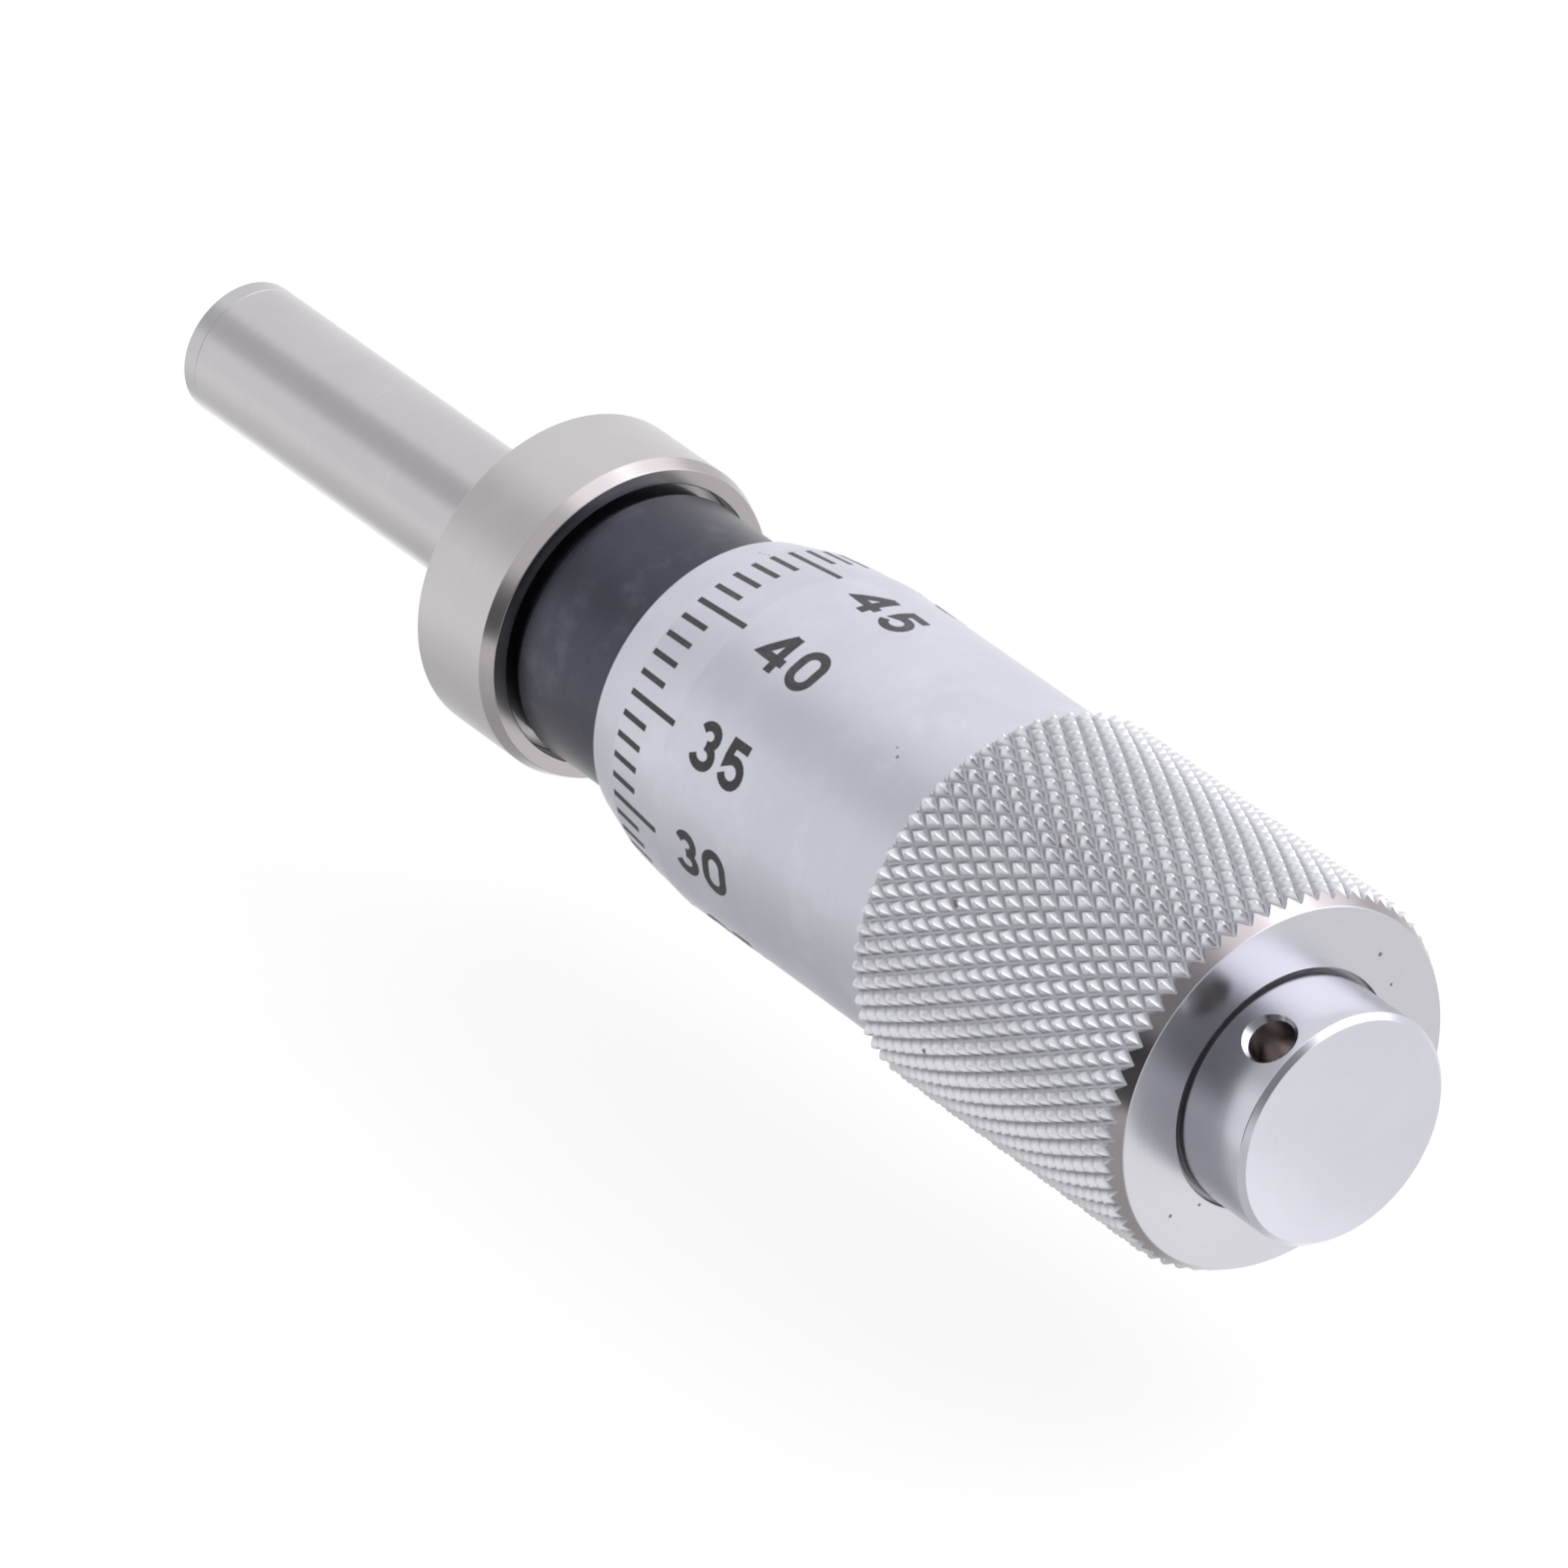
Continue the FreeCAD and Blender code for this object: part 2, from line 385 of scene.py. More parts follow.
def specks(graph, coords, scale, size, share):
    """Small round marks. Only a share of the cells holds one."""
    cells = graph.add("ShaderNodeTexVoronoi", None, {"Vector": coords, "Scale": scale})
    chosen = graph.add("ShaderNodeSeparateColor", None, {0: cells["Color"]})["Red"]
    near = 1 - graph.smooth_step(cells["Distance"], size * 0.6, size)
    return near * graph.math("LESS_THAN", chosen, share)


def marks_at(graph, coords, places):
    """1 on small marks and 0 elsewhere. Each has its distance along the axis, angle, radius and size."""
    level = None
    for x, angle, radius, size in places:
        spot = place(x, angle, radius)
        gap = graph.add("ShaderNodeVectorMath", {"operation": "DISTANCE"}, {0: coords, 1: spot})
        near = 1 - graph.smooth_step(gap["Value"], 0.3 * size * MM, size * MM)
        level = near if level is None else graph.math("MAXIMUM", level, near)
    return level


def turned_metal(name, light, dark, roughness, lines_per_mm, line_depth, scuffs, speck_share, dirt,
                 marks=(), grooves=None, smears=None):
    """Metal with fine turning lines, patchy gloss, faint scuffs and a few dark specks.

    Grooves, a colour, is painted shade that darkens the knurl's valleys. Smears, a colour, makes cloudy
    lighter places.
    """
    material = bpy.data.materials.new(name)
    material.use_nodes = True
    graph = Graph(material.node_tree)
    coords, x, radius, side = round_axis(graph)
    lines = noise(graph, side, 1.6, 3.0, 0.65, (x + radius * 0.9) * lines_per_mm)
    patches = noise(graph, coords, 220.0, 3.0, 0.6)
    clouds = noise(graph, coords, 70.0, 2.0, 0.5)
    scuffed = scratches(graph, coords, 90.0, 5200.0, (0.5, 0.3, 0.9), 0.72) * scuffs
    marked = specks(graph, coords, 420.0, 0.10, speck_share)
    tone = 0.35 * patches + 0.45 * clouds + 0.35 * lines - 0.08
    colour = graph.mixed(graph.smooth_step(tone, 0.25, 0.85), dark, light)
    # Painted shade: the knurl's valleys darken towards the root.
    if grooves:
        valley_top = knurl_root_radius + 0.55 * knurl_depth
        painted_valley_shade = 1 - graph.smooth_step(radius, knurl_root_radius - 0.02, valley_top)
        colour = graph.mixed(painted_valley_shade, colour, grooves)
    if smears:
        cloudy = graph.smooth_step(noise(graph, coords, 330.0, 4.0, 0.6), 0.48, 0.80)
        colour = graph.mixed(cloudy * 0.7, colour, smears)
    if marks:
        marked = graph.math("MAXIMUM", marked, marks_at(graph, coords, marks))
    colour = graph.mixed(marked, colour, dirt)
    rough = roughness - 0.05 + 0.07 * patches + 0.06 * lines + 0.10 * scuffed + 0.15 * marked
    height = lines + 0.25 * patches - 0.8 * scuffed - 1.2 * marked
    bump = graph.add("ShaderNodeBump", None, {"Strength": 1.0, "Distance": line_depth * MM, "Height": height})
    shader = graph.add("ShaderNodeBsdfPrincipled", None, {
        "Base Color": colour, "Metallic": 1.0, "Roughness": rough, "Normal": bump,
    })
    graph.add("ShaderNodeOutputMaterial", None, {"Surface": shader})
    return material


def filled_paint(name, colour, worn):
    """Paint in the engraved lines and numbers, a little uneven."""
    material = bpy.data.materials.new(name)
    material.use_nodes = True
    graph = Graph(material.node_tree)
    coords = graph.add("ShaderNodeTexCoord")["Object"]
    grain = noise(graph, coords, 5200.0, 3.0, 0.6)
    mottle = noise(graph, coords, 700.0, 2.0, 0.5)
    tint = graph.mixed(graph.smooth_step(0.6 * grain + 0.4 * mottle, 0.42, 0.72), colour, worn)
    shader = graph.add("ShaderNodeBsdfPrincipled", None, {
        "Base Color": tint, "Roughness": 0.42 + 0.2 * grain, "Metallic": 0.0,
    })
    graph.add("ShaderNodeOutputMaterial", None, {"Surface": shader})
    return material


brown_dirt = (0.20, 0.18, 0.17, 1)
dark_dirt = (0.16, 0.14, 0.13, 1)

# Each finish: name, light and dark colour, roughness, turning lines per mm, their depth in mm, scuffs,
# share of specks and colour of the dirt in them
spindle_steel = turned_metal(
    "spindle_steel", (0.59, 0.57, 0.58, 1), (0.52, 0.50, 0.515, 1), 0.22, 9.0, 0.0012, 0.5, 0.02,
    (0.30, 0.28, 0.28, 1))
tip_carbide = turned_metal(
    "tip_carbide", (0.58, 0.565, 0.58, 1), (0.50, 0.49, 0.505, 1), 0.22, 12.0, 0.0008, 0.3, 0.02,
    (0.20, 0.20, 0.20, 1))
collar_steel = turned_metal(
    "collar_steel", (0.60, 0.575, 0.58, 1), (0.52, 0.50, 0.505, 1), 0.30, 7.0, 0.0018, 0.8, 0.03, brown_dirt)
# Darker finish of the collar's rear chamfer and flat ring: painted shade in place of a dark reflection.
collar_edge_steel = turned_metal(
    "collar_edge_steel", (0.45, 0.42, 0.425, 1), (0.38, 0.355, 0.36, 1), 0.20, 9.0, 0.0012, 0.5, 0.03,
    (0.12, 0.10, 0.10, 1))
stem_steel = turned_metal(
    "stem_steel", (0.55, 0.54, 0.55, 1), (0.45, 0.44, 0.45, 1), 0.34, 6.0, 0.0018, 0.5, 0.03, brown_dirt)
nut_steel = turned_metal(
    "nut_steel", (0.52, 0.51, 0.52, 1), (0.42, 0.41, 0.42, 1), 0.36, 5.0, 0.0022, 0.6, 0.03, brown_dirt)
sleeve_dark = turned_metal(
    "sleeve_dark", (0.088, 0.090, 0.112, 1), (0.058, 0.060, 0.078, 1), 0.30, 8.0, 0.0012, 1.0, 0.02,
    (0.02, 0.02, 0.02, 1), smears=(0.150, 0.165, 0.195, 1))
thimble_chrome = turned_metal(
    "thimble_chrome", (0.64, 0.65, 0.71, 1), (0.55, 0.56, 0.62, 1), 0.36, 9.0, 0.0012, 0.8, 0.04,
    (0.22, 0.21, 0.20, 1), marks=barrel_marks, smears=(0.68, 0.69, 0.75, 1))
face_chrome = turned_metal(
    "face_chrome", (0.57, 0.57, 0.60, 1), (0.51, 0.51, 0.545, 1), 0.23, 10.0, 0.0007, 0.8, 0.10,
    dark_dirt, marks=face_marks)
# Darker, browner finish of the thimble's rear chamfer: painted shade in place of the dark floor's reflection.
chamfer_chrome = turned_metal(
    "chamfer_chrome", (0.40, 0.37, 0.38, 1), (0.34, 0.31, 0.32, 1), 0.20, 10.0, 0.0010, 0.5, 0.05, dark_dirt)
# Its grooves colour is painted shade in the knurl's valleys.
knurl_chrome = turned_metal(
    "knurl_chrome", (0.76, 0.76, 0.80, 1), (0.67, 0.67, 0.71, 1), 0.26, 3.0, 0.0040, 0.8, 0.05,
    brown_dirt, grooves=(0.37, 0.37, 0.40, 1))
cap_chrome = turned_metal(
    "cap_chrome", (0.64, 0.64, 0.70, 1), (0.58, 0.58, 0.64, 1), 0.20, 9.0, 0.0010, 0.6, 0.05, brown_dirt)
hole_steel = turned_metal(
    "hole_steel", (0.71, 0.65, 0.63, 1), (0.54, 0.49, 0.475, 1), 0.26, 5.0, 0.0040, 0.5, 0.05,
    (0.05, 0.04, 0.04, 1))
# Darker finish on the wall of the recess at the cap's base: painted shade in the narrow gap.
joint_dirt = turned_metal(
    "joint_dirt", (0.50, 0.49, 0.50, 1), (0.36, 0.35, 0.36, 1), 0.50, 6.0, 0.0020, 0.2, 0.05,
    (0.03, 0.03, 0.03, 1))
thimble_finishes = [thimble_chrome, face_chrome, knurl_chrome, joint_dirt, chamfer_chrome]
scale_paint = filled_paint("scale_paint", (0.028, 0.026, 0.031, 1), (0.065, 0.062, 0.070, 1))
sleeve_paint = filled_paint("sleeve_paint", (0.62, 0.62, 0.62, 1), (0.40, 0.40, 0.42, 1))


# Turned pieces

def rounded(outline):
    """Rounds each corner of an (x, radius, edge) outline. Gives points with their outward normals."""
    count = len(outline)
    corners = [Vector((x, r)) for x, r, edge in outline]
    points = []
    for i, (x, r, edge) in enumerate(outline):
        before = corners[i] - corners[i - 1]
        after = corners[(i + 1) % count] - corners[i]
        if r == 0:
            way = after if corners[(i + 1) % count].y > 0 else before
            points.append((corners[i], Vector((-way.y, way.x)).normalized()))
            continue
        half_turn = abs(before.angle(after)) / 2
        longest = longest_share * min(before.length, after.length)
        reach = min(edge * math.tan(half_turn), longest)
        start = corners[i] - before.normalized() * reach
        end = corners[i] + after.normalized() * reach
        for k in range(edge_steps + 1):
            t = k / edge_steps
            point = start * (1 - t) ** 2 + corners[i] * 2 * t * (1 - t) + end * t ** 2
            way = (corners[i] - start) * (1 - t) + (end - corners[i]) * t
            points.append((point, Vector((-way.y, way.x)).normalized()))
    return points


def turned_mesh(name, outline):
    """Solid of revolution about X. The outline runs from the front over the outside to the back."""
    verts, normals, faces, rings = [], [], [], []
    for point, normal in rounded(outline):
        on_axis = point.y < 1e-6
        ring = []
        for j in range(1 if on_axis else turn_steps):
            side = outward(360 * j / turn_steps)
            ring.append(len(verts))
            verts.append((Vector((point.x, 0, 0)) + side * point.y) * MM)
            normals.append(Vector((normal.x, 0, 0)) + side * (0 if on_axis else normal.y))
        rings.append(ring)
    for i, front in enumerate(rings):
        back = rings[(i + 1) % len(rings)]
        for j in range(turn_steps if len(front) + len(back) > 2 else 0):
            k = (j + 1) % turn_steps
            corners = [front[j % len(front)], back[j % len(back)], back[k % len(back)], front[k % len(front)]]
            faces.append(list(dict.fromkeys(corners)))
    mesh = bpy.data.meshes.new(name)
    mesh.from_pydata(verts, [], faces)
    mesh.shade_smooth()
    mesh.normals_split_custom_set_from_vertices(normals)
    return mesh


def add_piece(name, mesh, materials, body, slot, *nodes):
    """Puts a finished mesh in the scene, on its body and for its CAD nodes."""
    piece = bpy.data.objects.new(name, mesh)
    bpy.context.collection.objects.link(piece)
    slots = [face.material_index for face in mesh.polygons]
    mesh.materials.clear()
    for material in materials:
        mesh.materials.append(material)
    mesh.polygons.foreach_set("material_index", slots)
    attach(piece, body)
    if nodes:
        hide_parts(*nodes)


def plain_copy(worker):
    """Mesh of an object with its modifiers applied. The working object is removed."""
    graph = bpy.context.evaluated_depsgraph_get()
    mesh = bpy.data.meshes.new_from_object(worker.evaluated_get(graph))
    bpy.data.objects.remove(worker)
    return mesh


def outline_normal(profile, x, radius):
    """Normal of a rounded outline at its point nearest to a place."""
    spot = Vector((x, radius))
    best = None
    for i, (start, first) in enumerate(profile):
        end, second = profile[(i + 1) % len(profile)]
        run = end - start
        t = min(1, max(0, (spot - start).dot(run) / max(run.length_squared, 1e-12)))
        gap = (start + run * t - spot).length
        if best is None or gap < best[0]:
            best = (gap, first * (1 - t) + second * t)
    return best[1]


def shaped(name, mesh, tool, operation, turned_slot, outline, sharp_angle, materials):
    """Mesh after a Boolean. The tool's faces get slot 1, and turned faces keep their outline's normals."""
    worker = bpy.data.objects.new(name, mesh)
    cutter = bpy.data.objects.new(name + "_tool", tool)
    for item in (worker, cutter):
        item.data.materials.clear()
        for material in materials:
            item.data.materials.append(material)
        bpy.context.collection.objects.link(item)
    tool.polygons.foreach_set("material_index", [1] * len(tool.polygons))
    boolean = worker.modifiers.new("shape", "BOOLEAN")
    boolean.operation = operation
    boolean.solver = "MANIFOLD"
    boolean.object = cutter
    result = plain_copy(worker)
    bpy.data.objects.remove(cutter)
    result.shade_smooth()
    sharpen(result, sharp_angle)
    profile = rounded(outline)
    known, normals = {}, []
    plain = [corner.vector.copy() for corner in result.corner_normals]
    for face in result.polygons:
        for loop in face.loop_indices:
            if face.material_index != turned_slot:
                normals.append(plain[loop])
                continue
            x, y, z = result.vertices[result.loops[loop].vertex_index].co / MM
            radius = math.hypot(y, z)
            key = (round(x, 3), round(radius, 3))
            if key not in known:
                known[key] = outline_normal(profile, x, radius)
            side = Vector((0, y, z)) / max(radius, 1e-9)
            normals.append((Vector((known[key].x, 0, 0)) + side * known[key].y).normalized())
    result.normals_split_custom_set(normals)
    return result


def sharpen(mesh, angle):
    """Marks the edges sharp where two slots meet or where the faces turn by more than an angle."""
    work = bmesh.new()
    work.from_mesh(mesh)
    for edge in work.edges:
        slots = {face.material_index for face in edge.link_faces}
        edge.smooth = len(slots) == 1 and edge.calc_face_angle(0) < math.radians(angle)
    work.to_mesh(mesh)
    work.free()


def make_collar():
    """Mounting collar. The chamfer and the flat ring at its rear are in slot 1, whose darker finish is
    painted shade.
    """
    c = collar_front_chamfer
    mesh = turned_mesh("mounting_collar", [
        (0, boss_radius, joint_edge),
        (0, collar_radius - c, soft_edge),
        (c, collar_radius, soft_edge),
        (collar_length - collar_rear_chamfer_length, collar_radius, outer_edge),
        (collar_length, collar_radius - collar_rear_chamfer_depth, soft_edge),
        (collar_length, collar_recess_radius, outer_edge),
        (collar_recess_x, collar_recess_radius, soft_edge),
        (collar_recess_x, boss_radius, joint_edge),
    ])
    for face in mesh.polygons:
        spot = face.center / MM
        behind = spot.x > collar_length - collar_rear_chamfer_length
        outside = math.hypot(spot.y, spot.z) > collar_recess_radius + collar_margin
        face.material_index = 1 if behind and outside else 0
    return mesh


def make_measuring_tip():
    """Disc on the spindle's end, with a hair's breadth between the two."""
    back_x = -spindle_reach + tip_thickness - tip_joint
    return turned_mesh("measuring_tip", [
        (-spindle_reach, 0, 0),
        (-spindle_reach, spindle_radius - tip_chamfer, fine_edge),
        (-spindle_reach + tip_chamfer, spindle_radius, fine_edge),
        (back_x, spindle_radius, joint_edge),
        (back_x, 0, 0),
    ])


def cone_radius(x):
    """Radius of the taper seat that the spindle and the thimble share."""
    share = (x - cavity_end_x) / (cap_seat_x - cavity_end_x)
    return cone_large_radius + share * (cone_small_radius - cone_large_radius)


def make_spindle():
    """Ground rod, screw, taper seat and stud in one."""
    c = screw_end_chamfer
    shoulder_x = cap_seat_x - cone_relief
    return turned_mesh("spindle", [
        (-spindle_reach + tip_thickness, 0, 0),
        (-spindle_reach + tip_thickness, spindle_radius, joint_edge),
        (screw_start_x - neck_length, spindle_radius, soft_edge),
        (screw_start_x - neck_length, neck_radius, fine_edge),
        (screw_start_x, neck_radius, fine_edge),
        (screw_start_x, screw_radius - c, fine_edge),
        (screw_start_x + c, screw_radius, fine_edge),
        (screw_end_x - c, screw_radius, fine_edge),
        (screw_end_x, screw_radius - c, fine_edge),
        (screw_end_x, neck_radius, fine_edge),
        (cavity_end_x, neck_radius, fine_edge),
        (cavity_end_x, cone_large_radius, soft_edge),
        (shoulder_x, cone_radius(shoulder_x), soft_edge),
        (shoulder_x, stud_radius, soft_edge),
        (stud_end_x - stud_chamfer, stud_radius, soft_edge),
        (stud_end_x, stud_radius - stud_chamfer, soft_edge),
        (stud_end_x, 0, 0),
    ])


def drill(x, angle, radius, mouth_radius, inner, outer):
    """Closed drill shape across the axis, with a flared mouth."""
    flare = mouth_radius - radius
    way = outward(angle)
    across = Vector((1, 0, 0)).cross(way)
    stations = [(inner, radius), (outer - flare, radius), (outer + flare, radius + 2 * flare)]
    verts, faces = [], []
    steps = drill_steps
    for reach, r in stations:
        for j in range(steps):
            a = 2 * math.pi * j / steps
            ring = Vector((math.cos(a), 0, 0)) + across * math.sin(a)
            verts.append((Vector((x, 0, 0)) + way * reach + ring * r) * MM)
    for i in range(len(stations) - 1):
        for j in range(steps):
            k = (j + 1) % steps
            faces.append([i * steps + k, i * steps + j, (i + 1) * steps + j, (i + 1) * steps + k])
    faces.append(list(range(steps)))
    faces.append(list(reversed(range((len(stations) - 1) * steps, len(stations) * steps))))
    mesh = bpy.data.meshes.new("drill")
    mesh.from_pydata(verts, [], faces)
    return mesh


def make_graduated_sleeve():
    """Dark sleeve with the small hole for the spanner that sets zero."""
    spigot_x = collar_length + sleeve_spigot_reach
    outline = [
        (sleeve_front_x, sleeve_bore_radius, fine_edge),
        (sleeve_front_x, sleeve_spigot_radius, soft_edge),
        (spigot_x, sleeve_spigot_radius, spigot_edge),
        (spigot_x + sleeve_spigot_chamfer, sleeve_radius, outer_edge),
        (sleeve_end_x, sleeve_radius, outer_edge),
        (sleeve_end_x, sleeve_bore_radius, soft_edge),
    ]
    hole_x = collar_length + spanner_hole_behind_collar
    tool = drill(
        hole_x, spanner_hole_angle, spanner_hole_radius, spanner_hole_radius + spanner_hole_flare,
        sleeve_bore_radius - sleeve_drill_reach, sleeve_radius)
    plain = turned_mesh("graduated_sleeve", outline)
    return shaped(
        "graduated_sleeve", plain, tool, "DIFFERENCE", 0, outline, hole_sharp_angle,
        [sleeve_dark, stem_steel])


def make_setting_cap():
    """Cap with its countersunk hole. Only the wall of the hole is in slot 1."""
    outline = [
        (cap_seat_x, cap_bore_radius + cap_base_chamfer, fine_edge),
        (cap_seat_x, cap_radius - cap_base_chamfer, fine_edge),
        (cap_seat_x + cap_base_chamfer, cap_radius, fine_edge),
        (cap_top_x - cap_rim_chamfer, cap_radius, rim_edge),
        (cap_top_x, cap_radius - cap_rim_chamfer, rim_edge),
        (cap_top_x, 0, 0),
        (cap_top_x - cap_crown, 0, 0),
        (cap_top_x - cap_crown, cap_relief_radius, soft_edge),
        (cap_thread_end_x, cap_relief_radius, fine_edge),
        (cap_thread_end_x, cap_bore_radius, fine_edge),
        (cap_seat_x + cap_base_chamfer, cap_bore_radius, fine_edge),
    ]
    hole_x = cap_top_x - cap_hole_from_top
    tool = drill(hole_x, cap_hole_angle, cap_hole_radius, cap_hole_mouth_radius, cap_drill_start, cap_radius)
    plain = turned_mesh("setting_cap", outline)
    mesh = shaped(
        "setting_cap", plain, tool, "DIFFERENCE", 0, outline, hole_sharp_angle,
        [cap_chrome, hole_steel])
    for face in mesh.polygons:
        depth = outward(cap_hole_angle).dot(face.center) / MM
        from_hole = math.dist(face.center, place(hole_x, cap_hole_angle, depth)) / MM
        if face.material_index == 1 and from_hole > cap_hole_radius + hidden_edge:
            face.material_index = 0
    return mesh


def make_thimble_body():
    """Thimble without its knurl and end face."""
    return turned_mesh("thimble_body", [
        (thimble_edge_x, lip_radius, fine_edge),
        (thimble_edge_x, thimble_edge_radius, outer_edge),
        (break_x, thimble_break_radius, break_edge),
        (smooth_x, thimble_radius, scale_edge),
        (knurl_start_x, thimble_radius, hidden_edge),
        (knurl_start_x, knurl_core_radius, hidden_edge),
        (cap_seat_x, knurl_core_radius, hidden_edge),
        (cap_seat_x, cone_small_radius, fine_edge),
        (cavity_end_x, cone_large_radius, fine_edge),
        (cavity_end_x, cavity_radius, cavity_edge),
        (thimble_edge_x + lip_length, cavity_radius, cavity_edge),
        (thimble_edge_x + lip_length, lip_radius, fine_edge),
    ])


# What repeats around the axis

def rows_tree():
    """Geometry tree that sets copies of one shape in rows around the axis, each row turned by a shift."""
    tree = bpy.data.node_groups.new("rows_around_the_axis", "GeometryNodeTree")
    ports = tree.interface
    ports.new_socket("Geometry", in_out="OUTPUT", socket_type="NodeSocketGeometry")
    kinds = [
        ("Shape", "Object"), ("Rows", "Int"), ("Copies", "Int"), ("First X", "Float"), ("Row Step", "Float"),
        ("First Angle", "Float"), ("Copy Angle", "Float"), ("Row Shift", "Float"), ("Finish", "Material"),
    ]
    for name, kind in kinds:
        ports.new_socket(name, in_out="INPUT", socket_type="NodeSocket" + kind)
    graph = Graph(tree)
    given = graph.add("NodeGroupInput")
    index = graph.add("GeometryNodeInputIndex")
    row = graph.math("FLOOR", (index + 0.5) / given["Copies"])
    copy = index - row * given["Copies"]
    x = (given["First X"] + row * given["Row Step"]) * MM
    angle = given["First Angle"] + copy * given["Copy Angle"] + row * given["Row Shift"]
    points = graph.add("GeometryNodePoints", None, {
        "Count": given["Rows"] * given["Copies"],
        "Position": graph.add("ShaderNodeCombineXYZ", None, {0: x, 1: 0.0, 2: 0.0}),
    })
    shape = graph.add("GeometryNodeObjectInfo", None, {"Object": given["Shape"]})["Geometry"]
    turn = graph.add("ShaderNodeCombineXYZ", None, {0: angle * -math.radians(1), 1: 0.0, 2: 0.0})
    copies = graph.add("GeometryNodeInstanceOnPoints", None, {
        "Points": points, "Instance": shape, "Rotation": turn,
    })
    real = graph.add("GeometryNodeRealizeInstances", None, {"Geometry": copies})
    whole = graph.add("GeometryNodeMergeByDistance", None, {
        "Geometry": real, "Distance": merge_distance * MM,
    })
    done = graph.add("GeometryNodeSetMaterial", None, {"Geometry": whole, "Material": given["Finish"]})
    graph.add("NodeGroupOutput", None, {"Geometry": done})
    return tree


def in_rows(name, shape, finish, rows, copies, first_x, row_step, first_angle, copy_angle, row_shift):
    """Plain mesh of the copies of a shape that the rows tree sets around the axis."""
    model = bpy.data.objects.new(name + "_shape", shape)
    worker = bpy.data.objects.new(name, bpy.data.meshes.new(name))
    bpy.context.collection.objects.link(model)
    bpy.context.collection.objects.link(worker)
    rule = worker.modifiers.new("rows", "NODES")
    rule.node_group = around_tree
    values = {
        "Shape": model, "Rows": rows, "Copies": copies, "First X": first_x, "Row Step": row_step,
        "First Angle": first_angle, "Copy Angle": copy_angle, "Row Shift": row_shift, "Finish": finish,
    }
    for item in around_tree.interface.items_tree:
        if item.in_out == "INPUT":
            rule[item.identifier] = values[item.name]
    mesh = plain_copy(worker)
    bpy.data.objects.remove(model)
    return mesh


def one_diamond():
    """One four-sided point of the knurl, with a worn top and a flat in the grooves around it."""
    half_angle = 180 / knurl_count
    verts, faces = [], []
    for share, height in knurl_slope:
        radius = knurl_root_radius + height * knurl_depth
        verts.append(place(-knurl_row_step * share, 0, radius))
        verts.append(place(0, half_angle * share, radius))
        verts.append(place(knurl_row_step * share, 0, radius))
        verts.append(place(0, -half_angle * share, radius))
    for i in range(len(knurl_slope) - 1):
        for j in range(4):
            k = (j + 1) % 4
            faces.append([4 * i + k, 4 * i + j, 4 * (i + 1) + j, 4 * (i + 1) + k])
    faces.append([4 * len(knurl_slope) - n for n in (1, 2, 3, 4)])
    mesh = bpy.data.meshes.new("diamond")
    mesh.from_pydata(verts, [], faces)
    return mesh


def close_to_axis(mesh):
    """Closes the two open ends of a tube with fans to the axis."""
    work = bmesh.new()
    work.from_mesh(mesh)
    rim = [edge for edge in work.edges if edge.is_boundary]
    middle = (knurl_start_x + knurl_end_x) / 2 * MM
    for side in (-1, 1):
        edges = [edge for edge in rim if (edge.verts[0].co.x - middle) * side > 0]
        centre = work.verts.new((sum(edge.verts[0].co.x for edge in edges) / len(edges), 0, 0))
        for edge in edges:
            work.faces.new([edge.verts[0], edge.verts[1], centre])
    bmesh.ops.recalc_face_normals(work, faces=work.faces)
    work.to_mesh(mesh)
    work.free()
    return mesh


def make_knurled_ring():
    """Knurl trimmed to a band with both chamfers, and the end face with its recess."""
    rows_between = math.ceil((thimble_face_x - knurl_start_x) / knurl_row_step)
    rows = knurl_rows_before + rows_between + knurl_rows_after
    tube = in_rows(
        "knurl", one_diamond(), knurl_chrome, rows, knurl_count,
        knurl_start_x + knurl_first_row - knurl_rows_before * knurl_row_step, knurl_row_step,
        knurl_turn, 360 / knurl_count, 180 / knurl_count)
    proud = knurl_radius + knurl_depth
    rear_slope = rear_chamfer_length / rear_chamfer_depth
    outline = [
        (knurl_start_x, knurl_core_radius, hidden_edge),
        (knurl_start_x, knurl_radius - knurl_front_chamfer, hidden_edge),
        (knurl_start_x + knurl_front_chamfer + knurl_depth, proud, hidden_edge),
        (knurl_end_x - rear_slope * knurl_depth, proud, hidden_edge),
        (thimble_face_x, knurl_radius - rear_chamfer_depth, outer_edge),
        (thimble_face_x, cap_recess_radius, soft_edge),
        (cap_seat_x, cap_recess_radius, fine_edge),
        (cap_seat_x, knurl_core_radius, hidden_edge),
    ]
    band = turned_mesh("knurl_band", outline)
    return shaped(
        "knurled_ring", close_to_axis(tube), band, "INTERSECT", 1, outline, knurl_sharp_angle,
        [knurl_chrome, face_chrome])


def thimble_zone(face, is_ring):
    """Slot of a face of the thimble: body, end face, knurl, joint at the cap or chamfer."""
    x = face.center.x / MM
    radius = math.hypot(face.center.y, face.center.z) / MM
    if is_ring and face.material_index == 0:
        return 2
    # The recess wall at the cap's base takes a darker finish: painted shade.
    in_recess = cap_seat_x - seat_margin < x < thimble_face_x - mouth_margin
    if in_recess and radius < cap_recess_radius + wall_margin:
        return 3
    # The rear chamfer's slot takes the darker finish: painted shade.
    if is_ring:
        return 4 if x < thimble_face_x - chamfer_margin else 1
    return 0


